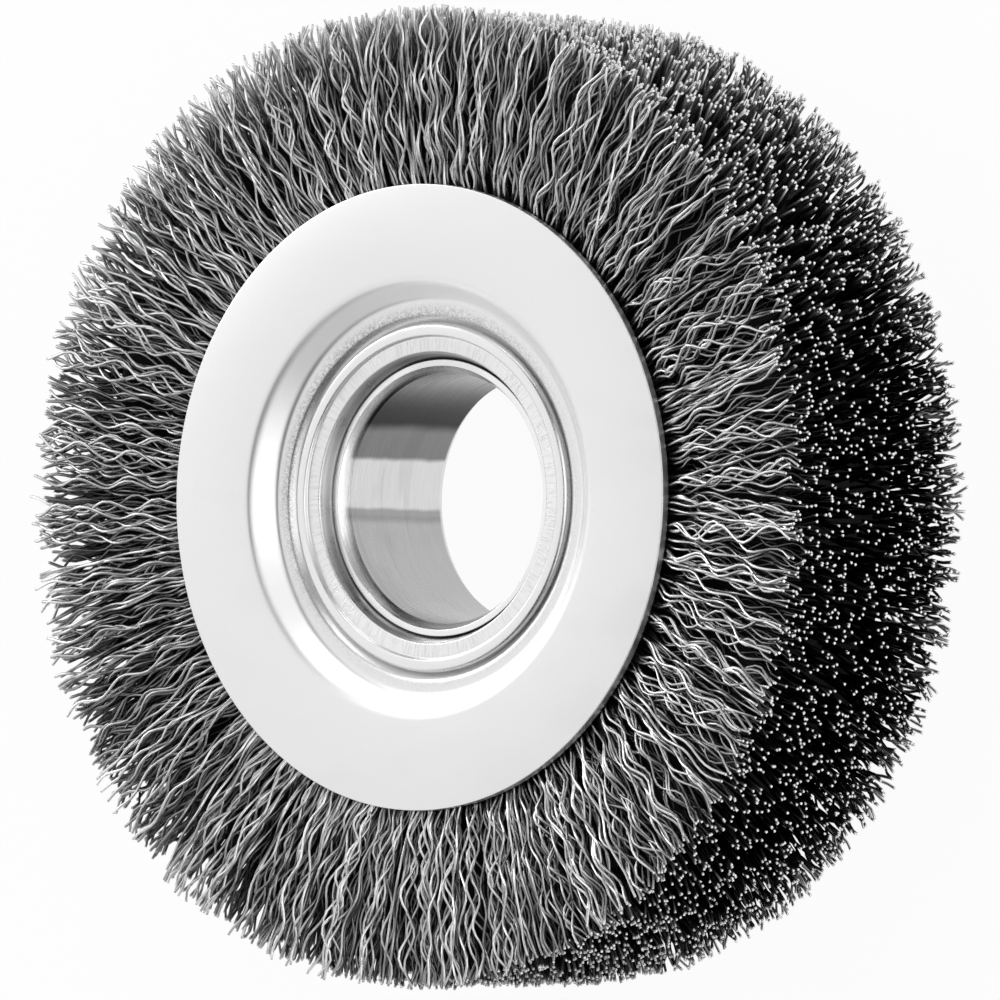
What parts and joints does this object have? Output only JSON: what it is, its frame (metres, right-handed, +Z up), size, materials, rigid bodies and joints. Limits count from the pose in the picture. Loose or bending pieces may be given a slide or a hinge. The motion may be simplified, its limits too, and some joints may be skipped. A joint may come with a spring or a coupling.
{
  "type": "wire wheel brush",
  "caption": "Wide wheel brush of crimped steel wire, held between two dished sheet plates on a rolled hub sleeve with a bushed bore.",
  "frame": {"origin": "centre of the brush, on the bore axis halfway between the two plates", "axes": "+Z along the bore axis, out of the front plate; the brush lies flat on its wire face with +Z up"},
  "size_m": [0.0998, 0.0997, 0.029],
  "materials": {
    "zinc_plate": "zinc plated sheet, satin",
    "zinc_sleeve": "zinc plated tube, satin, scratched at the rolled lip",
    "turned_steel": "turned, fine grooves round the bore",
    "crimped_wire": "bare drawn steel wire",
    "ring_steel": "bare steel"
  },
  "bodies": {
    "root": {"front_plate": "zinc_plate", "rear_plate": "zinc_plate", "hub_sleeve": "zinc_sleeve", "bore_bush": "turned_steel", "wire_row_1": "crimped_wire", "wire_row_2": "crimped_wire", "wire_row_3": "crimped_wire", "binding_ring_1": "ring_steel", "binding_ring_2": "ring_steel", "binding_ring_3": "ring_steel"}
  },
  "joints": []
}
